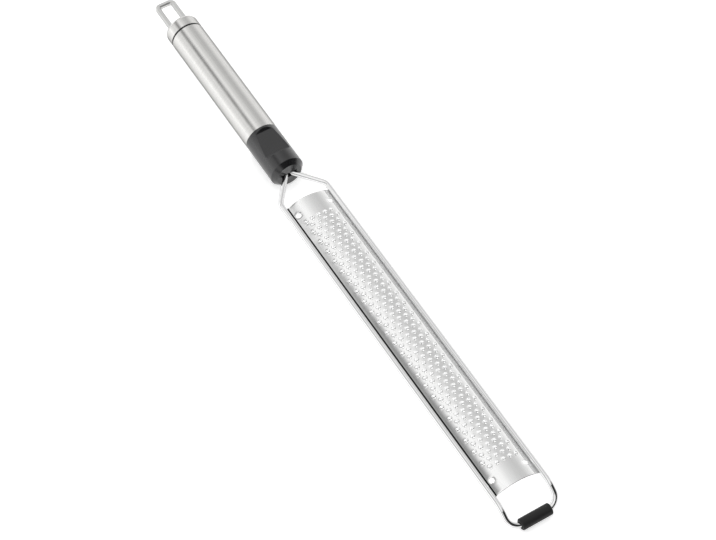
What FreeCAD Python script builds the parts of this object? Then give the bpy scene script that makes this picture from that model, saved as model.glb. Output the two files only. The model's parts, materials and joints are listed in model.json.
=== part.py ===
import FreeCAD, Part
import math
import os
import re

import Sketcher

# Rasp zester lying on a table: +X runs from the hanging loop to the foot, +Z is up.
# The origin is under the middle of the tool, on the table. All lengths are millimetres.

doc = FreeCAD.newDocument("rasp_zester")
Vector = FreeCAD.Vector

# Driving dimensions

sheet = doc.addObject("Spreadsheet::Sheet", "sizes")

driving_sizes = {
    # handle tube, with the ring and the cap behind it
    "handle_diameter": 20.0,
    "tube_length": 85.2,
    "tube_wall": 0.8,
    "ring_thickness": 1.2,
    "ring_inset": 0.3,
    "cap_length": 7.2,
    "cap_wall": 1.6,
    "cap_end_wall": 2.0,
    "cap_edge_radius": 1.2,
    "plug_length": 16.0,
    # hanging loop
    "loop_reach": 22.2,
    "loop_width": 12.6,
    "loop_bar_width": 2.8,
    "loop_bar_height": 3.0,
    "loop_corner_radius": 3.6,
    "loop_edge_break": 0.6,
    "loop_leg_depth": 13.0,
    # front ferrule
    "ferrule_length": 30.0,
    "ferrule_nose_length": 2.6,
    "ferrule_nose_depth": 2.4,
    "spigot_length": 14.0,
    "thumb_start": 1.2,
    "thumb_lead": 1.8,
    "thumb_shallow": 1.5,
    "thumb_deep": 3.5,
    "thumb_end": 20.2,
    "thumb_ridge_run": 1.9,
    "thumb_fillet": 1.5,
    "slot_side_room": 1.3,
    "slot_depth": 3.2,
    # wire frame
    "wire_diameter": 3.0,
    "wire_spacing": 28.7,
    "tail_gap": 0.6,
    "tail_depth": 38.0,
    "fan_setback": 0.9,
    "fan_radius": 4.0,
    "leg_run": 15.9,
    "leg_radius": 6.0,
    "dip_run": 6.2,
    "dip_radius": 8.0,
    "foot_run": 16.7,
    "corner_radius": 7.0,
    # grating blade
    "blade_setback": 3.9,
    "blade_length": 204.8,
    "blade_crown": 3.0,
    "sheet_thickness": 0.5,
    "hole_diameter": 2.8,
    "hole_inset": 8.0,
    "hole_spacing": 19.4,
    "blade_margin": 12.0,
    "tooth_field_width": 20.4,
    "tooth_pitch": 7.49,
    "tooth_row_pitch": 3.88,
    "tooth_length": 2.5,
    "tooth_width": 2.8,
    "tooth_height": 1.0,
    "tooth_wall": 0.32,
    "tooth_bite": 0.45,
    # rubber foot
    "foot_length": 17.6,
    "foot_diameter": 6.4,
    "foot_seat": 3.0,
    "foot_edge_break": 0.4,
    "foot_mouth_length": 2.4,
    "foot_mouth_depth": 0.2,
    # fits and cuts
    "press_clearance": 0.05,
    "slide_clearance": 0.1,
    "slot_clearance": 0.2,
    "end_clearance": 0.5,
    "cut_overrun": 2.0,
}

for row, (alias, value) in enumerate(driving_sizes.items(), start=1):
    sheet.set(f"A{row}", alias)
    sheet.set(f"B{row}", str(value))
    sheet.setAlias(f"B{row}", alias)
doc.recompute()

# Angles and shares
cradle_end_degrees = 285.0
tooth_top_share = 0.55
stagger_share = 0.25
rounding_share = 0.29


def size(expression):
    """Value of an expression in the names of the driving sizes."""
    return float(sheet.evalExpression(expression))


def bound(text):
    """The same expression as objects outside the sheet have to write it."""
    return re.sub(r"[a-z]\w+", lambda word: "sizes." + word.group(), text)


# Stations along the tool, as expressions: lengths behind and ahead of the joint of tube and ferrule

fan_ahead = "(ferrule_length - fan_setback)"
leg_ahead = f"({fan_ahead} + leg_run)"
blade_ahead = f"({leg_ahead} + blade_setback)"
blade_end_ahead = f"({blade_ahead} + blade_length)"
dip_ahead = f"({blade_end_ahead} + dip_run)"
foot_ahead = f"({blade_end_ahead} + foot_run)"
tool_ahead = f"({foot_ahead} + foot_diameter / 2)"
cap_behind = "(tube_length + ring_thickness)"
loop_behind = f"({cap_behind} + cap_length)"
tool_behind = f"({loop_behind} + loop_reach)"
joint_x = f"(({tool_behind} - {tool_ahead}) / 2)"
axis_z = "(handle_diameter / 2)"
bore_radius = "(handle_diameter / 2 - tube_wall)"
cap_bore_radius = "(handle_diameter / 2 - cap_wall)"
tail_offset = "((wire_diameter + tail_gap) / 2)"


# Sketch and feature helpers

def new_body(label, x=joint_x, z=axis_z):
    body = doc.addObject("PartDesign::Body", label)
    body.Label = label
    body.setExpression("Placement.Base.x", bound(x))
    body.setExpression("Placement.Base.z", bound(z))
    return body


def origin_plane(body, role):
    return next(feature for feature in body.Origin.OriginFeatures if feature.Role == role)


def new_sketch(body, name, role, offset="0"):
    sketch = body.newObject("Sketcher::SketchObject", name)
    sketch.AttachmentSupport = [(origin_plane(body, role), "")]
    sketch.MapMode = "FlatFace"
    sketch.setExpression("AttachmentOffset.Base.z", bound(offset))
    return sketch


def pin_point(sketch, geometry, position, corner):
    """Hold a point of the sketch at two distances from the sketch's origin."""
    for kind, expression in zip(("DistanceX", "DistanceY"), corner):
        index = sketch.addConstraint(
            Sketcher.Constraint(kind, -1, 1, geometry, position, size(expression)))
        sketch.setExpression(f"Constraints[{index}]", bound(expression))


def polygon(body, name, role, corners, offset="0"):
    """Closed outline of straight lines whose corners are pairs of expressions."""
    sketch = new_sketch(body, name, role, offset)
    places = [Vector(size(u), size(v), 0) for u, v in corners]
    following = places[1:] + places[:1]
    lines = [Part.LineSegment(start, end) for start, end in zip(places, following)]
    sketch.addGeometry(lines, False)
    for index, corner in enumerate(corners):
        sketch.addConstraint(
            Sketcher.Constraint("Coincident", index - 1 if index else len(lines) - 1, 2, index, 1))
        pin_point(sketch, index, 1, corner)
    return sketch


def circles(body, name, role, centres, radius, offset="0"):
    sketch = new_sketch(body, name, role, offset)
    for index, centre in enumerate(centres):
        place = Vector(size(centre[0]), size(centre[1]), 0)
        sketch.addGeometry(Part.Circle(place, Vector(0, 0, 1), size(radius)), False)
        pin_point(sketch, index, 3, centre)
        constraint = sketch.addConstraint(Sketcher.Constraint("Radius", index, size(radius)))
        sketch.setExpression(f"Constraints[{constraint}]", bound(radius))
    return sketch


def revolve(body, name, sketch, axis):
    feature = body.newObject("PartDesign::Revolution", name)
    feature.Profile = sketch
    feature.ReferenceAxis = (sketch, [axis])
    feature.Angle = 360
    doc.recompute()
    return feature


def extrude(body, kind, name, sketch, length, symmetric=False):
    feature = body.newObject(f"PartDesign::{kind}", name)
    feature.Profile = sketch
    feature.SideType = "Symmetric" if symmetric else "One side"
    feature.setExpression("Length", bound(length))
    doc.recompute()
    return feature


def dress(body, kind, name, base, chosen, measure):
    """Fillet or chamfer on the edges of the base feature that the test picks."""
    names = [f"Edge{number}" for number, edge in enumerate(base.Shape.Edges, start=1) if chosen(edge)]
    feature = body.newObject(f"PartDesign::{kind}", name)
    feature.Base = (base, names)
    feature.setExpression("Radius" if kind == "Fillet" else "Size", bound(measure))
    doc.recompute()
    return feature


def close(a, b):
    return abs(a - b) < size("press_clearance") / 2


# Handle tube: plain drawn tube between the ferrule and the ring

def make_handle_tube():
    body = new_body("handle_tube")
    wall = polygon(body, "tube_wall_outline", "XZ_Plane", [
        ("-tube_length", bore_radius),
        ("0", bore_radius),
        ("0", axis_z),
        ("-tube_length", axis_z),
    ])
    revolve(body, "tube", wall, "H_Axis")
    return body


# Seal ring: thin ring clamped between the tube and the cap, a little below their surface

def make_seal_ring():
    body = new_body("seal_ring", f"({joint_x} - tube_length)")
    outline = polygon(body, "ring_outline", "XZ_Plane", [
        ("-ring_thickness", cap_bore_radius),
        ("0", cap_bore_radius),
        ("0", "(handle_diameter / 2 - ring_inset)"),
        ("-ring_thickness", "(handle_diameter / 2 - ring_inset)"),
    ])
    revolve(body, "ring", outline, "H_Axis")
    return body


# End cap: turned cup with a rounded rear edge and a slot for each leg of the loop

def leg_slots(body, name, clearance, offset):
    """Two rectangles round the legs of the loop, one on each side of the handle's axis."""
    sketch = new_sketch(body, name, "YZ_Plane", offset)
    half_height = f"(loop_bar_height / 2 + {clearance})"
    outer = f"(loop_width / 2 + {clearance})"
    inner = f"(loop_width / 2 - loop_bar_width - {clearance})"
    for side in ("", "-"):
        first = sketch.GeometryCount
        corners = [(f"{side}{u}", v) for u, v in (
            (inner, f"-{half_height}"), (outer, f"-{half_height}"),
            (outer, half_height), (inner, half_height))]
        places = [Vector(size(u), size(v), 0) for u, v in corners]
        following = places[1:] + places[:1]
        sketch.addGeometry([Part.LineSegment(a, b) for a, b in zip(places, following)], False)
        for index, corner in enumerate(corners):
            before = first + (index - 1) % len(corners)
            sketch.addConstraint(Sketcher.Constraint("Coincident", before, 2, first + index, 1))
            pin_point(sketch, first + index, 1, corner)
    return sketch


def make_end_cap():
    body = new_body("end_cap", f"({joint_x} - {cap_behind})")
    eased = f"(cap_edge_radius * {rounding_share})"
    outline = polygon(body, "cap_outline", "XZ_Plane", [
        ("-cap_length", "0"),
        ("-cap_length + cap_end_wall", "0"),
        ("-cap_length + cap_end_wall", cap_bore_radius),
        ("0", cap_bore_radius),
        ("0", axis_z),
        ("-cap_length + cap_edge_radius", axis_z),
        (f"-cap_length + {eased}", f"{axis_z} - {eased}"),
        ("-cap_length", f"{axis_z} - cap_edge_radius"),
    ])
    cup = revolve(body, "cup", outline, "H_Axis")
    slots = leg_slots(body, "leg_slot_outline", "slide_clearance", "-cap_length + cap_end_wall")
    extrude(body, "Pocket", "leg_slots", slots, "cap_end_wall + cut_overrun")
    assert body.Tip.Shape.Volume < cup.Shape.Volume
    return body


# End plug: pressed into the tube, it carries the ring and the cap and holds the legs of the loop

def make_end_plug():
    body = new_body("end_plug", f"({joint_x} - tube_length)")
    boss_length = "(ring_thickness + cap_length - cap_end_wall - end_clearance)"
    boss_radius = f"({cap_bore_radius} - press_clearance)"
    plug_radius = f"({bore_radius} - press_clearance)"
    outline = polygon(body, "plug_outline", "XZ_Plane", [
        (f"-{boss_length}", "0"),
        ("plug_length", "0"),
        ("plug_length", plug_radius),
        ("0", plug_radius),
        ("0", boss_radius),
        (f"-{boss_length}", boss_radius),
    ])
    plug = revolve(body, "plug", outline, "H_Axis")
    sockets = leg_slots(body, "leg_socket_outline", "slide_clearance", f"-{boss_length}")
    pocket = extrude(body, "Pocket", "leg_sockets", sockets, "loop_leg_depth - cap_end_wall")
    pocket.Reversed = True
    doc.recompute()
    assert body.Tip.Shape.Volume < plug.Shape.Volume
    return body


# Hanging loop: flat-sided bar bent into a U, its legs through the cap and into the plug

def make_hanging_loop():
    body = new_body("hanging_loop", f"({joint_x} - {loop_behind})")
    half = "(loop_width / 2)"
    inner = "(loop_width / 2 - loop_bar_width)"
    outline = polygon(body, "loop_outline", "XY_Plane", [
        ("loop_leg_depth", f"-{half}"),
        ("loop_leg_depth", f"-{inner}"),
        ("-loop_reach + loop_bar_width", f"-{inner}"),
        ("-loop_reach + loop_bar_width", inner),
        ("loop_leg_depth", inner),
        ("loop_leg_depth", half),
        ("-loop_reach", half),
        ("-loop_reach", f"-{half}"),
    ])
    bar = extrude(body, "Pad", "bar", outline, "loop_bar_height", symmetric=True)
    end = -size("loop_reach")
    bend = end + size("loop_bar_width")
    height = size("loop_bar_height")

    def upright(edge, x):
        box = edge.BoundBox
        return close(box.ZLength, height) and close(box.XMin, x) and close(box.XMax, x)

    outer = dress(
        body, "Fillet", "outer_bends", bar, lambda edge: upright(edge, end), "loop_corner_radius")
    inside = dress(
        body, "Fillet", "inner_bends", outer, lambda edge: upright(edge, bend),
        "loop_corner_radius - loop_bar_width")
    legs_end = size("loop_leg_depth")
    dress(
        body, "Chamfer", "eased_edges", inside,
        lambda edge: edge.BoundBox.ZLength < height / 2 and edge.BoundBox.XMin < legs_end - height,
        "loop_edge_break")
    return body


# Front ferrule: moulded bolster with a spigot in the tube, a thumb recess and a slot for the wire

def make_front_ferrule():
    body = new_body("front_ferrule")
    spigot_radius = f"({bore_radius} - press_clearance)"
    nose_radius = "(handle_diameter / 2 - ferrule_nose_depth)"
    outline = polygon(body, "ferrule_outline", "XZ_Plane", [
        ("-spigot_length", "0"),
        ("ferrule_length", "0"),
        ("ferrule_length", nose_radius),
        ("ferrule_length - ferrule_nose_length", axis_z),
        ("0", axis_z),
        ("0", spigot_radius),
        ("-spigot_length", spigot_radius),
    ])
    turned = revolve(body, "turned", outline, "H_Axis")
    slot_half = f"({tail_offset} + wire_diameter / 2 + slot_side_room)"
    floor_high = f"({axis_z} - thumb_shallow)"
    floor_low = f"({axis_z} - thumb_deep)"
    above = f"({axis_z} + cut_overrun)"
    ridge_foot = "(thumb_end - thumb_ridge_run)"
    ridge_over = "(thumb_end + thumb_ridge_run * cut_overrun / thumb_deep)"
    lead_over = "(thumb_start - thumb_lead * cut_overrun / thumb_shallow)"
    recess = polygon(body, "thumb_outline", "XZ_Plane", [
        (lead_over, above),
        ("(thumb_start + thumb_lead)", floor_high),
        (ridge_foot, floor_low),
        (ridge_over, above),
    ])
    scooped = extrude(body, "Pocket", "thumb_recess", recess, "handle_diameter + cut_overrun", symmetric=True)
    assert scooped.Shape.Volume < turned.Shape.Volume
    ridge_x = size(ridge_foot)
    ridge_z = size(floor_low)
    lead_x = size("thumb_start + thumb_lead")
    lead_z = size(floor_high)

    def across(edge, x, z):
        box = edge.BoundBox
        return (close(box.XMin, x) and close(box.XMax, x) and close(box.ZMin, z)
                and close(box.ZMax, z) and box.YLength > 0)

    softened = dress(
        body, "Fillet", "thumb_hollow", scooped,
        lambda edge: across(edge, ridge_x, ridge_z) or across(edge, lead_x, lead_z), "thumb_fillet")
    slot = polygon(body, "slot_outline", "XY_Plane", [
        ("ferrule_length - slot_depth", f"-{slot_half}"),
        ("ferrule_length + cut_overrun", f"-{slot_half}"),
        ("ferrule_length + cut_overrun", slot_half),
        ("ferrule_length - slot_depth", slot_half),
    ])
    slotted = extrude(
        body, "Pocket", "wire_slot", slot, "wire_diameter + 2 * slot_clearance", symmetric=True)
    assert slotted.Shape.Volume < softened.Shape.Volume
    bores = circles(
        body, "tail_bore_outline", "YZ_Plane", [(tail_offset, "0"), (f"-{tail_offset}", "0")],
        "(wire_diameter / 2 + slide_clearance)", "ferrule_length")
    extrude(body, "Pocket", "tail_bores", bores, "tail_depth + end_clearance")
    assert body.Tip.Shape.Volume < slotted.Shape.Volume
    return body


# Wire frame: one wire from tail to tail, straight runs joined by tangent bends

def bent_path(corners, radii):
    """Edges of a line through the corners, with a tangent arc of its own radius at each inner one."""
    edges = []
    start = corners[0]
    for before, corner, after, radius in zip(corners, corners[1:], corners[2:], radii):
        inward = (before - corner).normalize()
        onward = (after - corner).normalize()
        half_angle = inward.getAngle(onward) / 2
        setback = radius / math.tan(half_angle)
        bisector = (inward + onward).normalize()
        middle = corner + bisector * (radius / math.sin(half_angle) - radius)
        arc_start = corner + inward * setback
        arc_end = corner + onward * setback
        edges.append(Part.LineSegment(start, arc_start).toShape())
        edges.append(Part.Arc(arc_start, middle, arc_end).toShape())
        start = arc_end
    edges.append(Part.LineSegment(start, corners[-1]).toShape())
    return edges


def make_wire_frame():
    level = size(axis_z)
    low = size("foot_seat")
    joint = size(joint_x)
    tail_y = size(tail_offset)
    rail_y = size("wire_spacing / 2")
    one_side = [
        Vector(joint + size("ferrule_length - tail_depth"), tail_y, level),
        Vector(joint + size(fan_ahead), tail_y, level),
        Vector(joint + size(leg_ahead), rail_y, level),
        Vector(joint + size(dip_ahead), rail_y, level),
        Vector(joint + size(foot_ahead), rail_y, low),
    ]
    other_side = [Vector(place.x, -place.y, place.z) for place in reversed(one_side)]
    side_radii = [size(name) for name in ("fan_radius", "leg_radius", "dip_radius", "corner_radius")]
    path = doc.addObject("Part::Feature", "wire_path")
    path.Shape = Part.Wire(bent_path(one_side + other_side, side_radii + side_radii[::-1]))
    ring = doc.addObject("Part::Circle", "wire_section")
    ring.setExpression("Radius", bound("wire_diameter / 2"))
    ring.Placement = FreeCAD.Placement(one_side[0], FreeCAD.Rotation(Vector(0, 0, 1), Vector(1, 0, 0)))
    wire = doc.addObject("Part::Sweep", "wire_frame")
    wire.Label = "wire_frame"
    wire.Sections = [ring]
    wire.Spine = path
    wire.Solid = True
    wire.Frenet = False
    doc.recompute()
    expected = path.Shape.Length * math.pi * size("wire_diameter / 2") ** 2
    print("wire frame volume over section times length:", wire.Shape.Volume / expected)
    return wire


# Grating blade: arched sheet whose long edges turn under the wire and cradle it

def blade_arch():
    """Radius of the arch's mid surface, height of its centre and radius of the cradle's mid surface."""
    rail = size("wire_spacing / 2")
    crown = size("blade_crown - sheet_thickness / 2")
    cradle = size("wire_diameter / 2 + press_clearance + sheet_thickness / 2")
    arch = (rail ** 2 + crown ** 2 - cradle ** 2) / (2 * (crown + cradle))
    return arch, crown - arch, cradle


def arc(y, z, radius, first, last):
    """Arc across the blade about a line along X; angles run from +Y towards +Z."""
    circle = Part.Circle(Vector(0, y, z), Vector(1, 0, 0), radius)
    spin = math.pi / 2 - circle.parameter(Vector(0, y, z + radius))
    return Part.ArcOfCircle(circle, first - spin, last - spin).toShape()


def sheet_end(y, z, radius, angle):
    """Line through the thickness of the sheet, square to its surface."""
    half_sheet = size("sheet_thickness / 2")
    outward = Vector(0, math.cos(angle), math.sin(angle))
    foot = Vector(0, y, z)
    return Part.LineSegment(
        foot + outward * (radius - half_sheet), foot + outward * (radius + half_sheet)).toShape()


def strip(edges, start, length):
    """Stretch of the blade with the given section."""
    face = Part.Face(Part.Wire(Part.__sortEdges__(edges)))
    solid = face.extrude(Vector(length, 0, 0))
    solid.translate(Vector(start, 0, 0))
    return solid


def arch_section(half_angle):
    """The toothed middle of the arch, up to the given angle on each side of its crown."""
    radius, centre_z, _ = blade_arch()
    half_sheet = size("sheet_thickness / 2")
    first = math.pi / 2 - half_angle
    last = math.pi / 2 + half_angle
    return [
        arc(0, centre_z, radius + half_sheet, first, last),
        arc(0, centre_z, radius - half_sheet, first, last),
        sheet_end(0, centre_z, radius, first),
        sheet_end(0, centre_z, radius, last),
    ]


def edge_section(half_angle):
    """One flank of the arch from the given angle down, and the cradle under the wire."""
    radius, centre_z, cradle = blade_arch()
    rail = size("wire_spacing / 2")
    half_sheet = size("sheet_thickness / 2")
    lean = math.atan2(rail, -centre_z)
    cradle_start = 1.5 * math.pi - lean
    cradle_end = math.radians(cradle_end_degrees)
    top = math.pi / 2
    return [
        sheet_end(0, centre_z, radius, top - half_angle),
        arc(0, centre_z, radius + half_sheet, top - lean, top - half_angle),
        arc(0, centre_z, radius - half_sheet, top - lean, top - half_angle),
        arc(rail, 0, cradle - half_sheet, cradle_start, cradle_end),
        arc(rail, 0, cradle + half_sheet, cradle_start, cradle_end),
        sheet_end(rail, 0, cradle, cradle_end),
    ]


def blade_holes():
    """Small round holes near the corners of the blade."""
    _, centre_z, _ = blade_arch()
    radius = size("hole_diameter / 2")
    depth = size("blade_crown + cut_overrun")
    holes = []
    for x in (size("hole_inset"), size("blade_length - hole_inset")):
        for y in (size("hole_spacing / 2"), -size("hole_spacing / 2")):
            outward = Vector(0, y, -centre_z).normalize()
            start = Vector(x, 0, centre_z) + outward * (-centre_z - depth)
            holes.append(Part.makeCylinder(radius, 2 * depth + size("blade_crown"), start, outward))
    return holes


def prism(outline, sweep):
    return Part.Face(Part.makePolygon(outline + outline[:1])).extrude(sweep)


def tooth_block(width, height, rear, front, rise_rear, rise_front, bottom):
    """Wedge with leaning sides: a trapezium along the blade, cut off by a sloping roof."""
    crown = size("blade_crown")
    lean = width * (1 - tooth_top_share) / (2 * height)
    foot = width / 2 + lean * (crown - bottom)
    top = width * tooth_top_share / 2
    ends = [(-foot, bottom), (-top, crown + height), (top, crown + height), (foot, bottom)]
    walls = prism([Vector(rear, y, z) for y, z in ends], Vector(front - rear, 0, 0))
    side = [(rear, bottom), (rear, crown + rise_rear), (front, crown + rise_front), (front, bottom)]
    roof = prism([Vector(x, -foot, z) for x, z in side], Vector(0, 2 * foot, 0))
    return walls.common(roof)


def make_tooth():
    """One hood on the crown of the arch, open towards the foot, and the hollow under it."""
    length = size("tooth_length")
    width = size("tooth_width")
    height = size("tooth_height")
    wall = size("tooth_wall")
    bite = size("tooth_bite")
    crown = size("blade_crown")
    slope = height / length
    mouth = length / 2
    root = size("sheet_thickness / 2")
    below = size("2 * sheet_thickness")
    hood = tooth_block(
        width, height, -mouth - root / slope, mouth, -root, height, crown - root)
    hollow = tooth_block(
        width - 2 * wall, height - wall, -mouth + (wall - below) / slope, mouth + bite,
        -below, height - wall + bite * slope, crown - below)
    return hood, hollow


def row_angle():
    """Angle about the arch's axis from one row of teeth to the next in the same column."""
    radius, _, _ = blade_arch()
    return math.degrees(size("tooth_row_pitch") / (radius + size("sheet_thickness / 2")))


def toothed_strip(half_angle, start, teeth):
    """Two columns of teeth, the second one half a row across from the first."""
    _, centre_z, _ = blade_arch()
    axis_foot = Vector(0, 0, centre_z)
    pitch = size("tooth_pitch")
    middle = (teeth - 1) / 2
    hoods = []
    hollows = []
    for column, stagger in enumerate((-stagger_share, stagger_share)):
        x = start + (column + 1 / 2) * pitch / 2
        for tooth in range(teeth):
            turn = FreeCAD.Rotation(Vector(1, 0, 0), (tooth - middle + stagger) * row_angle())
            move = axis_foot - turn.multVec(axis_foot) + Vector(x, 0, 0)
            for solids, solid in zip((hoods, hollows), make_tooth()):
                solid.Placement = FreeCAD.Placement(move, turn)
                solids.append(solid)
    plain = strip(arch_section(half_angle), start, pitch)
    return plain.fuse(Part.makeCompound(hoods)).cut(Part.makeCompound(hollows))


def make_grating_blade():
    length = size("blade_length")
    pitch = size("tooth_pitch")
    column_pairs = int(size("(blade_length - 2 * blade_margin) / tooth_pitch"))
    teeth = int(size("tooth_field_width / tooth_row_pitch"))
    margin = (length - column_pairs * pitch) / 2
    half_angle = math.radians((teeth / 2 + stagger_share) * row_angle())
    first = toothed_strip(half_angle, margin, teeth)
    strips = []
    for index in range(column_pairs):
        copy = first.copy()
        copy.translate(Vector(index * pitch, 0, 0))
        strips.append(copy)
    strips.append(strip(arch_section(half_angle), 0, margin))
    strips.append(strip(arch_section(half_angle), length - margin, margin))
    right = strip(edge_section(half_angle), 0, length)
    left = right.mirror(Vector(0, 0, 0), Vector(0, 1, 0))
    joined = right.fuse(strips + [left])
    blade = doc.addObject("Part::Feature", "grating_blade")
    blade.Label = "grating_blade"
    blade.Shape = joined.cut(blade_holes())
    blade.setExpression("Placement.Base.x", bound(f"({joint_x} + {blade_ahead})"))
    blade.setExpression("Placement.Base.z", bound(axis_z))
    doc.recompute()
    return blade


# Rubber foot: sleeve on the cross-bar of the wire, with a flat underside on the table

def make_rubber_foot():
    body = new_body("rubber_foot", f"({joint_x} + {foot_ahead})", "foot_seat")
    half = "(foot_length / 2)"
    bore = "(wire_diameter / 2 + press_clearance)"
    mouth = f"({bore} + foot_mouth_depth)"
    outline = polygon(body, "foot_outline", "XY_Plane", [
        (bore, f"-({half} - foot_mouth_length)"),
        (mouth, f"-{half}"),
        ("foot_diameter / 2 - foot_edge_break", f"-{half}"),
        ("foot_diameter / 2", f"-({half} - foot_edge_break)"),
        ("foot_diameter / 2", f"({half} - foot_edge_break)"),
        ("foot_diameter / 2 - foot_edge_break", half),
        (mouth, half),
        (bore, f"({half} - foot_mouth_length)"),
    ])
    sleeve = revolve(body, "sleeve", outline, "V_Axis")
    wide = "(foot_diameter / 2 + cut_overrun)"
    flat = polygon(body, "flat_outline", "XZ_Plane", [
        (f"-{wide}", f"-{wide}"),
        (wide, f"-{wide}"),
        (wide, "-foot_seat"),
        (f"-{wide}", "-foot_seat"),
    ])
    extrude(body, "Pocket", "flat_underside", flat, "foot_length + cut_overrun", symmetric=True)
    assert body.Tip.Shape.Volume < sleeve.Shape.Volume
    return body


pieces = [
    make_handle_tube(),
    make_seal_ring(),
    make_end_cap(),
    make_end_plug(),
    make_hanging_loop(),
    make_front_ferrule(),
    make_wire_frame(),
    make_grating_blade(),
    make_rubber_foot(),
]
doc.recompute()

for item in doc.Objects:
    troubles = {"Invalid", "Error"} & set(item.State)
    if troubles:
        raise RuntimeError(f"{item.Label}: {troubles}")
for piece in pieces:
    if piece.Shape.isNull() or not piece.Shape.isValid() or len(piece.Shape.Solids) != 1:
        raise RuntimeError(f"{piece.Label}: bad shape")

os.makedirs("parts", exist_ok=True)
for piece in pieces:
    piece.Shape.exportStep(f"parts/{piece.Label}.step")
    print(piece.Label, "volume", round(piece.Shape.Volume, 1))
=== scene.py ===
import json
import math

import bmesh
import bpy
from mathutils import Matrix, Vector


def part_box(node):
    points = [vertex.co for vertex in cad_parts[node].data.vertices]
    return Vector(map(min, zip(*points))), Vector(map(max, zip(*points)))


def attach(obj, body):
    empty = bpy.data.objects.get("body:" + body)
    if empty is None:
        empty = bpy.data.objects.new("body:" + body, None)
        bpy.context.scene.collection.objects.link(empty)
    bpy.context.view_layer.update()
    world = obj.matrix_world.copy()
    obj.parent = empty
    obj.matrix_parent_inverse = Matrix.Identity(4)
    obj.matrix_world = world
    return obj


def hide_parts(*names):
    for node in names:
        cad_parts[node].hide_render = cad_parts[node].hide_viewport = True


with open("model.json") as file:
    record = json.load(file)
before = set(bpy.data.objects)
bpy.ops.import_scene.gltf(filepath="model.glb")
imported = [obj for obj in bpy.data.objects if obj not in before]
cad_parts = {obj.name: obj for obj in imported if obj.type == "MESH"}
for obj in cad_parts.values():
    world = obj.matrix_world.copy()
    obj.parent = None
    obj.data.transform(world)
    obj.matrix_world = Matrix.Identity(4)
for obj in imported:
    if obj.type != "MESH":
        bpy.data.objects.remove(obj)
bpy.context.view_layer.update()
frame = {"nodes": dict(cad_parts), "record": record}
nodes = frame["nodes"]
mm = 0.001
alongX = Vector((1, 0, 0))
print("frame loaded, nodes:", len(nodes))


# camera at the photograph's angle
cameraSetup = {
    "azimuth": 58.746,              # degrees, 0 looks along +Y
    "elevation": 55.541,
    "distance": 1.07767,
    "lookAt": (0.02359, -0.00017, 0.00836),
    "lens": 102.3,
    "sensor": 36.0,
}


def placeCamera(setup):
    azimuth = math.radians(setup["azimuth"])
    elevation = math.radians(setup["elevation"])
    flat = math.cos(elevation)
    back = Vector((math.sin(azimuth) * flat, -math.cos(azimuth) * flat, math.sin(elevation)))
    data = bpy.data.cameras.new("studioCamera")
    data.lens = setup["lens"]
    data.sensor_width = setup["sensor"]
    camera = bpy.data.objects.new("studioCamera", data)
    camera.location = Vector(setup["lookAt"]) + back * setup["distance"]
    camera.rotation_euler = back.to_track_quat("Z", "Y").to_euler()
    bpy.context.scene.collection.objects.link(camera)
    bpy.context.scene.camera = camera


placeCamera(cameraSetup)
print("camera placed")


# grating blade: an arched sheet of hooded teeth, its long edges turned under the wire
bladeSizes = {
    "sheet": 0.5 * mm,
    "wire": 3.0 * mm,
    "fit": 0.05 * mm,
    "crown": 3.0 * mm,              # top of the arch above the wire's axis
    "cradleEnd": math.radians(285),   # round the wire, 270 is straight below it
    "cradleSteps": 5,
    "columns": 48,
    "columnPitch": 3.745 * mm,
    "rowPitch": 3.88 * mm,
    "halfRows": 11,                 # steps of half a row across the toothed panel
    "toothInset": 0.50 * mm,
    "toothCorner": 0.62,            # share of a corner's way along the blade, which rounds the base
    "frontCorner": 0.40,            # share of a front corner's way across the blade
    "hoodTiers": (                  # size against the tier below, way towards the foot, rise and slope
        {"share": 0.72, "shift": 0.20 * mm, "rise": 0.50 * mm, "tilt": 0.28, "open": True},
        {"share": 0.50, "shift": 0.10 * mm, "rise": 0.25 * mm, "tilt": 0.0, "open": False}),
    "mouthSlope": 0.05 * mm,
    "endLoop": 0.4 * mm,
    "holeRadius": 1.4 * mm,
    "holeInset": 8.0 * mm,
    "holeCell": 2.2 * mm,           # half the length of the sheet's cell round a hole
    "holeRow": 5.0,                 # in half rows from the crown
    "holeReach": 0.6,               # lines within this many half rows of a hole are taken out
    "holeLean": math.radians(25.5),
    "merge": 0.001 * mm,
    "near": 0.1 * mm,               # closer than this is the same place
    "nearRow": 0.1,                 # the same in half rows
}


# what follows from the sizes and the frame: the rails, the arch over them and the toothed panel
def bladeLayout(sizes):
    low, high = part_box("grating_blade")
    length = high.x - low.x
    wireZ = sum(corner.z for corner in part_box("handle_tube")) / 2
    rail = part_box("wire_frame")[1].y - sizes["wire"] / 2
    cradle = sizes["wire"] / 2 + sizes["fit"] + sizes["sheet"] / 2
    crown = sizes["crown"] - sizes["sheet"] / 2
    arch = (rail ** 2 + crown ** 2 - cradle ** 2) / (2 * (crown + cradle))
    archZ = wireZ + crown - arch
    halfRow = sizes["rowPitch"] / (arch + sizes["sheet"] / 2) / 2
    return {
        "startX": low.x, "length": length, "margin": (length - sizes["columns"] * sizes["columnPitch"]) / 2,
        "rail": rail, "wireZ": wireZ, "lean": math.atan2(rail, wireZ - archZ),
        "arch": arch, "archZ": archZ, "halfRow": halfRow, "panel": sizes["halfRows"] / 2 * halfRow,
    }


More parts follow.
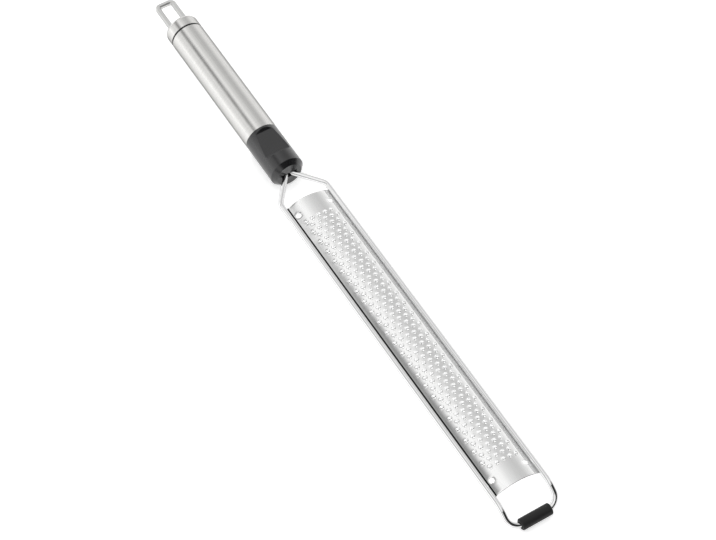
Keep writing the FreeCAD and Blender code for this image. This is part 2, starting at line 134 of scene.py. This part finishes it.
# bare sheet: a line of points along the blade, spun over the arch and then round the wires
def rollSheet(sizes, layout):
    inset, cell = sizes["holeInset"], sizes["holeCell"]
    head = [0.0, sizes["endLoop"], inset - cell, inset + cell]
    columns = [layout["margin"] + i * sizes["columnPitch"] for i in range(sizes["columns"] + 1)]
    stations = head + columns + [layout["length"] - x for x in reversed(head)]
    panel, halfRow, archZ = layout["panel"], layout["halfRow"], layout["archZ"]

    bm = bmesh.new()
    first = layout["arch"] * Vector((0, -math.sin(panel), math.cos(panel)))
    vert = bmesh.ops.create_vert(bm, co=first + Vector((layout["startX"], 0, archZ)))["vert"][0]
    for before, after in zip(stations, stations[1:]):
        vert = bmesh.ops.extrude_vert_indiv(bm, verts=[vert])["verts"][0]
        bmesh.ops.translate(bm, vec=(after - before) * alongX, verts=[vert])
    firstLine = bm.verts[:] + bm.edges[:]

    def spin(line, y, z, angle, steps):
        made = bmesh.ops.spin(
            bm, geom=line, cent=(0, y, z), axis=alongX, dvec=(0, 0, 0), angle=angle, steps=steps)
        return [g for g in made["geom_last"] if isinstance(g, (bmesh.types.BMVert, bmesh.types.BMEdge))]

    lastLine = spin(firstLine, 0, archZ, -2 * panel, sizes["halfRows"])
    wrap = sizes["cradleEnd"] - (1.5 * math.pi - layout["lean"])      # from where the arch meets the wire
    for line, side in ((lastLine, 1), (firstLine, -1)):
        line = spin(line, 0, archZ, -side * halfRow, 1)
        line = spin(line, 0, archZ, -side * (layout["lean"] - panel - halfRow), 1)
        spin(line, side * layout["rail"], layout["wireZ"], side * wrap, sizes["cradleSteps"])
    bmesh.ops.remove_doubles(bm, verts=bm.verts[:], dist=sizes["merge"])
    bmesh.ops.recalc_face_normals(bm, faces=bm.faces[:])

    # spin lists edges and faces in a new order on each run, so they are sorted by their corners
    bm.verts.index_update()
    for parts in (bm.edges, bm.faces):
        corners = {part: sorted(v.index for v in part.verts) for part in parts}
        parts.sort(key=lambda part: corners[part][-1] * len(bm.verts) + corners[part][0])
    return bm


# takes out the lines that cross teeth and holes, and returns the faces left there
# a tooth is on every second line of the panel, shifted by one from column to column
def openCells(bm, sizes, layout):
    toothLines = []
    holeLines = []
    for edge in bm.edges:
        a, b = (v.co for v in edge.verts)
        middle = (a + b) / 2
        row = math.atan2(middle.y, middle.z - layout["archZ"]) / layout["halfRow"]
        line = row + sizes["halfRows"] / 2
        if abs(a.x - b.x) < sizes["near"] or abs(line - round(line)) > sizes["nearRow"]:
            continue
        x = middle.x - layout["startX"]
        column = math.floor((x - layout["margin"]) / sizes["columnPitch"])
        inPanel = 0 <= column < sizes["columns"] and 0 < round(line) < sizes["halfRows"]
        if inPanel and (round(line) + column) % 2 == 1:
            toothLines.append(edge)
        fromHole = min(x, layout["length"] - x) - sizes["holeInset"]
        if abs(fromHole) < sizes["near"] and abs(abs(row) - sizes["holeRow"]) < sizes["holeReach"]:
            holeLines.append(edge)
    bmesh.ops.dissolve_edges(bm, edges=toothLines + holeLines, use_verts=False)
    teeth = [face for face in bm.faces if len(face.verts) == 6]       # two cells joined
    holes = [face for face in bm.faces if len(face.verts) == 8]       # three cells joined
    return teeth, holes


# round holes, near the four corners
def cutHoles(bm, holes, sizes, layout):
    arch, archZ, radius = layout["arch"], layout["archZ"], sizes["holeRadius"]
    for face in holes:
        centre = face.calc_center_median()
        lean = math.copysign(sizes["holeLean"], centre.y)
        centreY = arch * math.sin(lean)
        corners = sorted(face.verts, key=lambda v: math.atan2(v.co.y - centreY, v.co.x - centre.x))
        for i, v in enumerate(corners):
            turn = -math.pi + (i + 0.5) * 2 * math.pi / len(corners)
            around = lean + radius * math.sin(turn) / arch
            v.co = (
                centre.x + radius * math.cos(turn),
                arch * math.sin(around),
                archZ + arch * math.cos(around))
    bmesh.ops.delete(bm, geom=holes, context="FACES_ONLY")


# hoods: two tiers that rise towards the foot as a ramp, the lower one open at its front
def raiseHoods(bm, teeth, sizes, layout):
    for face in teeth:
        centre = face.calc_center_median()
        side = face.normal.cross(alongX)
        for v in face.verts:
            aside = (v.co - centre).dot(side)
            if abs(aside) < sizes["near"]:
                continue
            if v.co.x > centre.x:
                v.co -= aside * (1 - sizes["frontCorner"]) * side
            v.co.x = centre.x + (v.co.x - centre.x) * sizes["toothCorner"]
    mouths = []
    for tier in sizes["hoodTiers"]:
        teeth = bmesh.ops.extrude_discrete_faces(bm, faces=teeth)["faces"]
        for face in teeth:
            centre = face.calc_center_median()
            out = Vector((0, centre.y, centre.z - layout["archZ"])).normalized()
            for v in face.verts:
                away = (v.co - centre) * tier["share"]
                v.co = centre + away + tier["shift"] * alongX + out * (tier["rise"] + tier["tilt"] * away.x)
            if tier["open"]:
                front = [e for e in face.edges if all(v.co.x > centre.x for v in e.verts)]
                mouths += [f for e in front for f in e.link_faces if f is not face]
                for v in {v for e in front for v in e.verts}:
                    v.co.x -= sizes["mouthSlope"]
    bmesh.ops.delete(bm, geom=mouths, context="FACES_ONLY")


# shader helpers: a value is a number, a colour or another node's output
def feed(tree, node, values):
    for key, value in values.items():
        if isinstance(value, bpy.types.NodeSocket):
            tree.links.new(value, node.inputs[key])
        else:
            node.inputs[key].default_value = value


def addNode(tree, kind, values=None, **settings):
    node = tree.nodes.new(kind)
    for key, value in settings.items():
        setattr(node, key, value)
    feed(tree, node, values or {})
    return node


def compute(tree, operation, *values):
    return addNode(tree, "ShaderNodeMath", dict(enumerate(values)), operation=operation).outputs["Value"]


# from low to high as the source goes along its span
def mapRange(tree, source, span, low=0.0, high=1.0, shape="SMOOTHSTEP"):
    values = {"Value": source, "From Min": span[0], "From Max": span[1], "To Min": low, "To Max": high}
    return addNode(tree, "ShaderNodeMapRange", values, interpolation_type=shape).outputs["Result"]


def mix(tree, mask, a, b, kind):
    values = {"Factor": mask, "A": a, "B": b}
    return addNode(tree, "ShaderNodeMix", values, data_type=kind).outputs["Result"]


def splitVector(tree, source):
    return addNode(tree, "ShaderNodeSeparateXYZ", {"Vector": source}).outputs


def grey(level):
    return (level, level, level, 1)


# a node group with its inputs by kind, and outputs that are all values
def newGroup(name, inputs, outputs):
    group = bpy.data.node_groups.new(name, "ShaderNodeTree")
    for label, kind in inputs.items():
        group.interface.new_socket(name=label, in_out="INPUT", socket_type=kind)
    for label in outputs:
        group.interface.new_socket(name=label, in_out="OUTPUT", socket_type="NodeSocketFloat")
    return group, addNode(group, "NodeGroupInput").outputs, addNode(group, "NodeGroupOutput")


# fine parallel scratches: noise stretched by the three scales, and broad patches from handling
brushLook = {"detail": 3.0, "roughness": 0.6, "patchScale": 90.0, "patchDetail": 2.0, "depth": 0.02 * mm}


def makeBrushGrain(look):
    group, given, result = newGroup(
        "brushGrain", {"Vector": "NodeSocketVector", "Scale": "NodeSocketVector"}, ("Streaks", "Patches"))
    stretch = addNode(
        group, "ShaderNodeVectorMath", {0: given["Vector"], 1: given["Scale"]}, operation="MULTIPLY")
    streaks = addNode(group, "ShaderNodeTexNoise", {
        "Vector": stretch.outputs["Vector"], "Scale": 1.0,
        "Detail": look["detail"], "Roughness": look["roughness"]})
    patches = addNode(group, "ShaderNodeTexNoise", {
        "Vector": given["Vector"], "Scale": look["patchScale"], "Detail": look["patchDetail"]})
    feed(group, result, {"Streaks": streaks.outputs["Fac"], "Patches": patches.outputs["Fac"]})
    return group


# small pits of a moulded surface, and broad patches from handling
mouldLook = {"patchScale": 140.0, "patchDetail": 3.0, "depth": 0.03 * mm}


def makeMouldGrain(look):
    group, given, result = newGroup(
        "mouldGrain", {"Vector": "NodeSocketVector", "Scale": "NodeSocketFloat"}, ("Pits", "Patches"))
    pits = addNode(group, "ShaderNodeTexVoronoi", {"Vector": given["Vector"], "Scale": given["Scale"]})
    patches = addNode(group, "ShaderNodeTexNoise", {
        "Vector": given["Vector"], "Scale": look["patchScale"], "Detail": look["patchDetail"]})
    feed(group, result, {"Pits": pits.outputs["Distance"], "Patches": patches.outputs["Fac"]})
    return group


brushGrain = makeBrushGrain(brushLook)
mouldGrain = makeMouldGrain(mouldLook)
noiseSpan = (0.3, 0.7)              # where most of a noise lies


# painted shade and painted highlights on the blade's upper side, laid over its colour in this order
bladePaintedLight = {
    "Seam": {"span": (-11.80 * mm, -11.95 * mm), "level": 0.012},              # Y; painted shade where the sheet runs in under the wire, on the -Y side only
    "PaintedHoodHighlight": {"span": (0.28 * mm, 0.48 * mm), "level": 0.97, "rough": 0.25},    # height over the arch; painted highlight on the hood tops, with a rougher finish there
    "PaintedMouthShade": {"span": (0.30, 0.50), "level": 0.20},                              # X of the normal, on a hood; painted shade on the hood's front, at its mouth
    "PaintedRimHighlight": {"span": (11.1 * mm, 11.5 * mm), "level": 0.98, "rough": 0.6},      # Y, beside the other wire; painted highlight over the shade of the crevice there, with a rougher finish
}
upperSide = 0.05                    # least Z of a normal there


# masks of the painted shade and painted highlights on the blade, by place, height and facing
def makeBladePaintedLight(paintedLight, layout):
    group, given, result = newGroup(
        "bladePaintedLight", {"Vector": "NodeSocketVector", "Normal": "NodeSocketVector"}, paintedLight)
    place = splitVector(group, given["Vector"])
    facing = splitVector(group, given["Normal"])
    fromAxis = addNode(group, "ShaderNodeVectorMath", {
        0: given["Vector"], 1: (0, 1, 1), 2: (0, 0, -layout["archZ"])}, operation="MULTIPLY_ADD")
    radius = addNode(group, "ShaderNodeVectorMath", {0: fromAxis.outputs["Vector"]}, operation="LENGTH")
    height = compute(group, "SUBTRACT", radius.outputs["Value"], layout["arch"])
    sources = {"Seam": place["Y"], "PaintedHoodHighlight": height, "PaintedMouthShade": facing["X"], "PaintedRimHighlight": place["Y"]}
    upper = compute(group, "GREATER_THAN", facing["Z"], upperSide)
    masks = {}
    for name, mark in paintedLight.items():
        # the painted mouth shade lies only where the painted hood highlight is
        within = masks["PaintedHoodHighlight"] if name == "PaintedMouthShade" else upper
        masks[name] = compute(group, "MULTIPLY", mapRange(group, sources[name], mark["span"]), within)
    feed(group, result, masks)
    return group


# lays the painted shade and painted highlights over the blade's colour, with a rougher finish under the
# highlights
def layPaintedLight(tree, coords, paintedLight, colour, rough):
    group = makeBladePaintedLight(paintedLight, bladeLayout(bladeSizes))
    masks = addNode(tree, "ShaderNodeGroup", node_tree=group)
    feed(tree, masks, {"Vector": coords["Object"], "Normal": coords["Normal"]})
    for name, mark in paintedLight.items():
        colour = mix(tree, masks.outputs[name], colour, grey(mark["level"]), "RGBA")
        if "rough" in mark:
            rough = mix(tree, masks.outputs[name], rough, mark["rough"], "FLOAT")
    return colour, rough


def newMaterial(name):
    material = bpy.data.materials.new(name)
    material.use_nodes = True
    return material, material.node_tree, material.node_tree.nodes["Principled BSDF"]


# colour, roughness and bump of a finish, from a grain's two values
def layGrain(tree, finish, fine, patches, colourBy, depth):
    colour = mix(tree, colourBy, (*finish["dark"], 1), (*finish["light"], 1), "RGBA")
    rough = mapRange(tree, patches, noiseSpan, *finish["rough"], "LINEAR")
    bump = addNode(tree, "ShaderNodeBump", {"Height": fine, "Strength": finish["bump"], "Distance": depth})
    return colour, rough, bump.outputs["Normal"]


# metals, one dictionary for each finish; edge is the tint at a grazing angle
steelFinishes = {
    "handle_steel": {
        "dark": (0.60, 0.595, 0.58), "light": (0.74, 0.735, 0.72), "edge": 0.3,
        "rough": (0.14, 0.20), "streaks": (5200, 90, 90), "bump": 0.06},
    "blade_steel": {
        "dark": (0.78, 0.78, 0.775), "light": (0.88, 0.88, 0.875), "edge": 1.0,
        # the blade's colour carries painted shade along one wire and at the tooth mouths, and painted
        # highlights on the hood tops and beside the other wire
        "rough": (0.09, 0.15), "streaks": (120, 3000, 3000), "bump": 0.03, "paintedLight": bladePaintedLight},
    "wire_steel": {
        "dark": (0.74, 0.74, 0.74), "light": (0.84, 0.84, 0.84), "edge": 0.3,
        "rough": (0.05, 0.10), "streaks": (200, 1500, 1500), "bump": 0.01},
    "loop_metal": {
        "dark": (0.60, 0.60, 0.59), "light": (0.70, 0.70, 0.69), "edge": 0.5,
        "rough": (0.38, 0.48), "streaks": (900, 2600, 2600), "bump": 0.06},
}


def makeSteel(name, finish):
    material, tree, shader = newMaterial(name)
    coords = addNode(tree, "ShaderNodeTexCoord").outputs
    grain = addNode(tree, "ShaderNodeGroup", node_tree=brushGrain)
    feed(tree, grain, {"Vector": coords["Object"], "Scale": finish["streaks"]})
    streaks, patches = grain.outputs["Streaks"], grain.outputs["Patches"]
    colour, rough, normal = layGrain(tree, finish, streaks, patches, streaks, brushLook["depth"])
    # painted shade and highlights, on the blade only
    if "paintedLight" in finish:
        colour, rough = layPaintedLight(tree, coords, finish["paintedLight"], colour, rough)
    feed(tree, shader, {"Metallic": 1.0, "Specular Tint": grey(finish["edge"])})
    feed(tree, shader, {"Base Color": colour, "Roughness": rough, "Normal": normal})
    return material


# black plastic and rubber
blackFinishes = {
    "black_plastic": {
        "dark": (0.005, 0.005, 0.006), "light": (0.012, 0.012, 0.013),
        "rough": (0.20, 0.28), "pits": 3200.0, "bump": 0.06, "shine": 0.8, "ior": 1.5},
    "foot_rubber": {
        "dark": (0.010, 0.010, 0.010), "light": (0.020, 0.020, 0.020),
        "rough": (0.48, 0.62), "pits": 2400.0, "bump": 0.22, "shine": 0.3, "ior": 1.5},
}


def makeBlack(name, finish):
    material, tree, shader = newMaterial(name)
    coords = addNode(tree, "ShaderNodeTexCoord").outputs
    grain = addNode(tree, "ShaderNodeGroup", node_tree=mouldGrain)
    feed(tree, grain, {"Vector": coords["Object"], "Scale": finish["pits"]})
    pits, patches = grain.outputs["Pits"], grain.outputs["Patches"]
    colour, rough, normal = layGrain(tree, finish, pits, patches, patches, mouldLook["depth"])
    feed(tree, shader, {"IOR": finish["ior"], "Specular IOR Level": finish["shine"]})
    feed(tree, shader, {"Base Color": colour, "Roughness": rough, "Normal": normal})
    return material


finishes = {name: makeSteel(name, finish) for name, finish in steelFinishes.items()}
finishes.update({name: makeBlack(name, finish) for name, finish in blackFinishes.items()})

nodeSlots = {entry["node"]: entry["material_slot"] for entry in frame["record"]["subparts"]}
for name, node in nodes.items():
    node.data.materials.clear()
    node.data.materials.append(finishes[nodeSlots[name]])
print("finishes made:", ", ".join(sorted(finishes)))


def addPiece(name, bm, slotName):
    mesh = bpy.data.meshes.new(name)
    for face in bm.faces:
        face.smooth = True
    bm.to_mesh(mesh)
    bm.free()
    piece = bpy.data.objects.new(name, mesh)
    bpy.context.scene.collection.objects.link(piece)
    mesh.materials.append(finishes[slotName])
    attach(piece, "root")
    return piece


def makeBlade(sizes):
    layout = bladeLayout(sizes)
    bm = rollSheet(sizes, layout)
    teeth, holes = openCells(bm, sizes, layout)
    print("blade panel: teeth", len(teeth), "holes", len(holes))
    bmesh.ops.inset_individual(bm, faces=teeth + holes, thickness=sizes["toothInset"], use_even_offset=True)
    cutHoles(bm, holes, sizes, layout)
    raiseHoods(bm, teeth, sizes, layout)

    blade = addPiece("gratingSheet", bm, "blade_steel")
    wall = blade.modifiers.new("sheetThickness", "SOLIDIFY")
    wall.thickness = sizes["sheet"]
    wall.offset = 0
    soften = blade.modifiers.new("rolledEdges", "SUBSURF")
    soften.levels = soften.render_levels = 1
    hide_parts("grating_blade")


makeBlade(bladeSizes)
print("grating blade built")


# pale floor, just under the foot
floorSetup = {"half": 6.0, "below": 0.05 * mm, "white": 0.93, "rough": 0.30, "ior": 1.45, "glow": 0.55}


def makeFloor(setup):
    bm = bmesh.new()
    bmesh.ops.create_grid(bm, x_segments=1, y_segments=1, size=setup["half"])
    bmesh.ops.translate(bm, vec=(0, 0, -setup["below"]), verts=bm.verts[:])
    mesh = bpy.data.meshes.new("floor")
    bm.to_mesh(mesh)
    bm.free()
    floor = bpy.data.objects.new("floor", mesh)
    bpy.context.scene.collection.objects.link(floor)
    material, tree, shader = newMaterial("floorWhite")
    feed(tree, shader, {
        "Base Color": grey(setup["white"]), "Roughness": setup["rough"], "IOR": setup["ior"],
        "Emission Color": grey(1.0), "Emission Strength": setup["glow"]})
    mesh.materials.append(material)


makeFloor(floorSetup)
print("floor laid")


# studio light: long soft panels beside and over the tool, as bands round its axis
# spans of X, Y and Z are parts of the unit vector towards the light, each from none to full
studioLight = {
    "bands": (                      # degrees from straight up towards -Y, and brightness
        (-180, 0.9), (-120, 0.85), (-90, 1.12), (-76, 1.18), (-64, 0.95), (-50, 0.71),
        (-40, 0.66), (-25, 0.74), (-8, 0.90), (6, 1.12), (26, 1.14), (60, 1.0),
        (78, 1.2), (92, 1.6), (108, 2.6), (122, 1.6), (136, 1.1), (180, 0.9)),
    "gap": {                        # a dark line between two panels, which slants along the tool
        "place": 36.0, "reach": 20.0, "level": 0.27, "slant": -39.0, "slantFrom": -0.45,
        "closed": ((-0.55, -0.525), (-0.475, -0.51))},      # both ends of the stretch of X without it
    "darkFront": {                  # beyond the foot, under the top panels and away from -Y
        "X": (0.20, 0.40), "Y": (-0.50, -0.30), "Z": (0.84, 0.74), "level": 0.04},
    "brightBack": {"X": (-0.64, -0.76), "level": 1.3},      # beyond the handle
    "strength": 1.0,
}


# brightness between the given places, from a colour ramp
def levelsAlong(tree, source, levels):
    first, last = levels[0][0], levels[-1][0]
    share = mapRange(tree, source, (first, last), shape="LINEAR")
    curve = addNode(tree, "ShaderNodeValToRGB", {"Fac": share})
    stops = curve.color_ramp.elements
    stops[0].color = grey(levels[0][1])
    stops[1].color = grey(levels[-1][1])
    for place, level in levels[1:-1]:
        stops.new((place - first) / (last - first)).color = grey(level)
    return curve.outputs["Color"]


def makeStudio(light):
    world = bpy.data.worlds.new("studio")
    bpy.context.scene.world = world
    world.use_nodes = True
    tree = world.node_tree
    way = splitVector(tree, addNode(tree, "ShaderNodeTexCoord").outputs["Generated"])
    turn = compute(tree, "ARCTAN2", compute(tree, "MULTIPLY", way["Y"], -1.0), way["Z"])
    degrees = compute(tree, "MULTIPLY", turn, math.degrees(1))

    gap = light["gap"]
    shift = -gap["slant"] * gap["slantFrom"] - gap["place"]
    slanted = compute(tree, "ADD", degrees, compute(tree, "MULTIPLY_ADD", way["X"], gap["slant"], shift))
    fromGap = compute(tree, "ABSOLUTE", slanted)
    line = mapRange(tree, fromGap, (0.0, gap["reach"]), gap["level"], 1.0)
    closed = compute(tree, "MULTIPLY", *(mapRange(tree, way["X"], span) for span in gap["closed"]))

    front = light["darkFront"]
    side = compute(tree, "MULTIPLY", *(mapRange(tree, way[axis], front[axis]) for axis in "XY"))
    unlit = compute(tree, "MULTIPLY", side, mapRange(tree, way["Z"], front["Z"]))

    rear = light["brightBack"]
    level = levelsAlong(tree, degrees, light["bands"])
    for factor in (
            compute(tree, "MAXIMUM", line, closed),
            compute(tree, "MULTIPLY_ADD", unlit, front["level"] - 1.0, 1.0),
            mapRange(tree, way["X"], rear["X"], 1.0, rear["level"])):
        level = compute(tree, "MULTIPLY", level, factor)
    feed(tree, tree.nodes["Background"], {"Color": level, "Strength": light["strength"]})


makeStudio(studioLight)
bpy.context.scene.view_settings.view_transform = "Standard"
print("studio lit")
